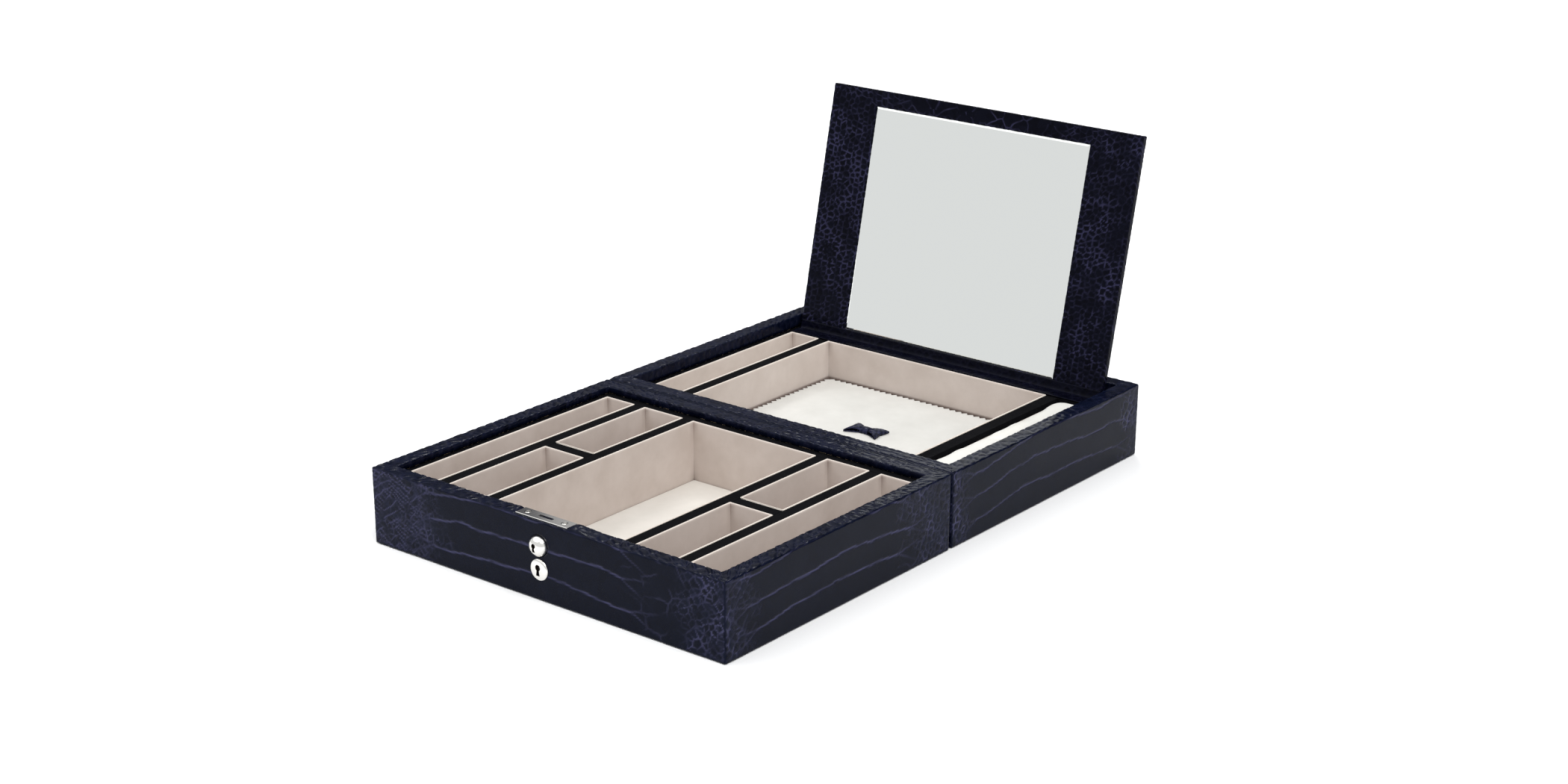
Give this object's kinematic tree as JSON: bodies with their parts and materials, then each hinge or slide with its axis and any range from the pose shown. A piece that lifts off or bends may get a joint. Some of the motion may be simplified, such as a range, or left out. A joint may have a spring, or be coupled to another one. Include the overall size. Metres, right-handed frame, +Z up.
{
  "type": "jewellery box",
  "caption": "Book-style jewellery box lying open: a divided front tray with a lock, and a rear tray with ring rolls, a lift-out pad and a standing mirror flap.",
  "frame": {"origin": "middle of the front tray's underside, on the table", "axes": "+X to the right along the lock side, +Y from the lock side towards the mirror, +Z up"},
  "size_m": [0.28, 0.448, 0.212],
  "materials": {
    "navy_croc_leather": "embossed crocodile grain, semi-gloss",
    "fibreboard": "matt",
    "black_suede": "matt nap",
    "beige_suede": "matt nap",
    "cream_suede": "matt nap",
    "base_cloth": "matt",
    "polished_nickel": "polished",
    "spring_steel": "satin",
    "mirror_glass": "silvered"
  },
  "bodies": {
    "base": {"base_underside": "base_cloth", "base_floor": "fibreboard", "base_wall_front": "fibreboard", "base_wall_back": "fibreboard", "base_wall_left": "fibreboard", "base_wall_right": "fibreboard", "base_cover": "navy_croc_leather", "base_frame": "black_suede", "base_divider_1": "black_suede", "base_divider_2": "black_suede", "base_divider_3": "black_suede", "base_divider_4": "black_suede", "base_cross_divider_left": "black_suede", "base_cross_divider_right": "black_suede", "base_liner_long_left": "beige_suede", "base_liner_front_left": "beige_suede", "base_liner_rear_left": "beige_suede", "base_liner_centre": "beige_suede", "base_liner_front_right": "beige_suede", "base_liner_rear_right": "beige_suede", "base_liner_long_right": "beige_suede", "base_centre_pad": "cream_suede", "lock_plate": "polished_nickel", "lock_plate_screw_left": "polished_nickel", "lock_plate_screw_right": "polished_nickel", "lock_case": "spring_steel", "key_escutcheon": "polished_nickel", "hinge_leather_base": "navy_croc_leather", "bolt_spring": "spring_steel"},
    "button": {"push_button": "polished_nickel"},
    "bolt": {"lock_bolt": "spring_steel"},
    "key": {"key_barrel": "spring_steel", "barrel_tail": "spring_steel"},
    "lid": {"lid_underside": "base_cloth", "lid_floor": "fibreboard", "lid_wall_front": "fibreboard", "lid_wall_back": "fibreboard", "lid_wall_left": "fibreboard", "lid_wall_right": "fibreboard", "lid_cover": "navy_croc_leather", "lid_frame": "black_suede", "lid_divider_left": "black_suede", "lid_divider_right": "black_suede", "lid_liner_left": "beige_suede", "lid_liner_centre": "beige_suede", "lid_liner_right": "beige_suede", "ring_roll_left": "cream_suede", "ring_roll_right": "cream_suede", "hook_plate": "polished_nickel", "hook_plate_screw_left": "polished_nickel", "hook_plate_screw_right": "polished_nickel", "hinge_leather_lid": "navy_croc_leather", "pad_rest": "black_suede", "flap_hinge_lower": "navy_croc_leather"},
    "flap": {"flap_board": "fibreboard", "flap_cover": "navy_croc_leather", "flap_mirror": "mirror_glass", "flap_hinge_upper": "navy_croc_leather"},
    "pad": {"lift_out_pad": "cream_suede", "bow": "navy_croc_leather"}
  },
  "joints": [
    {"name": "lid_fold", "type": "hinge", "parent": "base", "child": "lid", "pos_m": [0, 0.107, 0.05], "axis": [1, 0, 0], "range_deg": [0, 150]},
    {"name": "mirror_flap", "type": "hinge", "parent": "lid", "child": "flap", "pos_m": [0, 0.2944, 0.0423], "axis": [1, 0, 0], "range_deg": [0, 102.5]},
    {"name": "pad_lift", "type": "slide", "parent": "lid", "child": "pad", "axis": [0, 0, 1], "range_m": [0, 0.02]},
    {"name": "button_push", "type": "slide", "parent": "base", "child": "button", "axis": [0, 1, 0], "range_m": [0, 0.0015], "stiffness_N_per_m": 800, "springref_m": -0.001},
    {"name": "bolt_slide", "type": "slide", "parent": "base", "child": "bolt", "axis": [-1, 0, 0], "range_m": [0, 0.0015], "deforming": ["bolt_spring"]},
    {"name": "key_turn", "type": "hinge", "parent": "base", "child": "key", "pos_m": [0, -0.106, 0.0199], "axis": [0, 1, 0], "range_deg": [0, 90]}
  ],
  "couplings": [
    {"joint": "bolt_slide", "follows": "button_push", "ratio": 1}
  ]
}
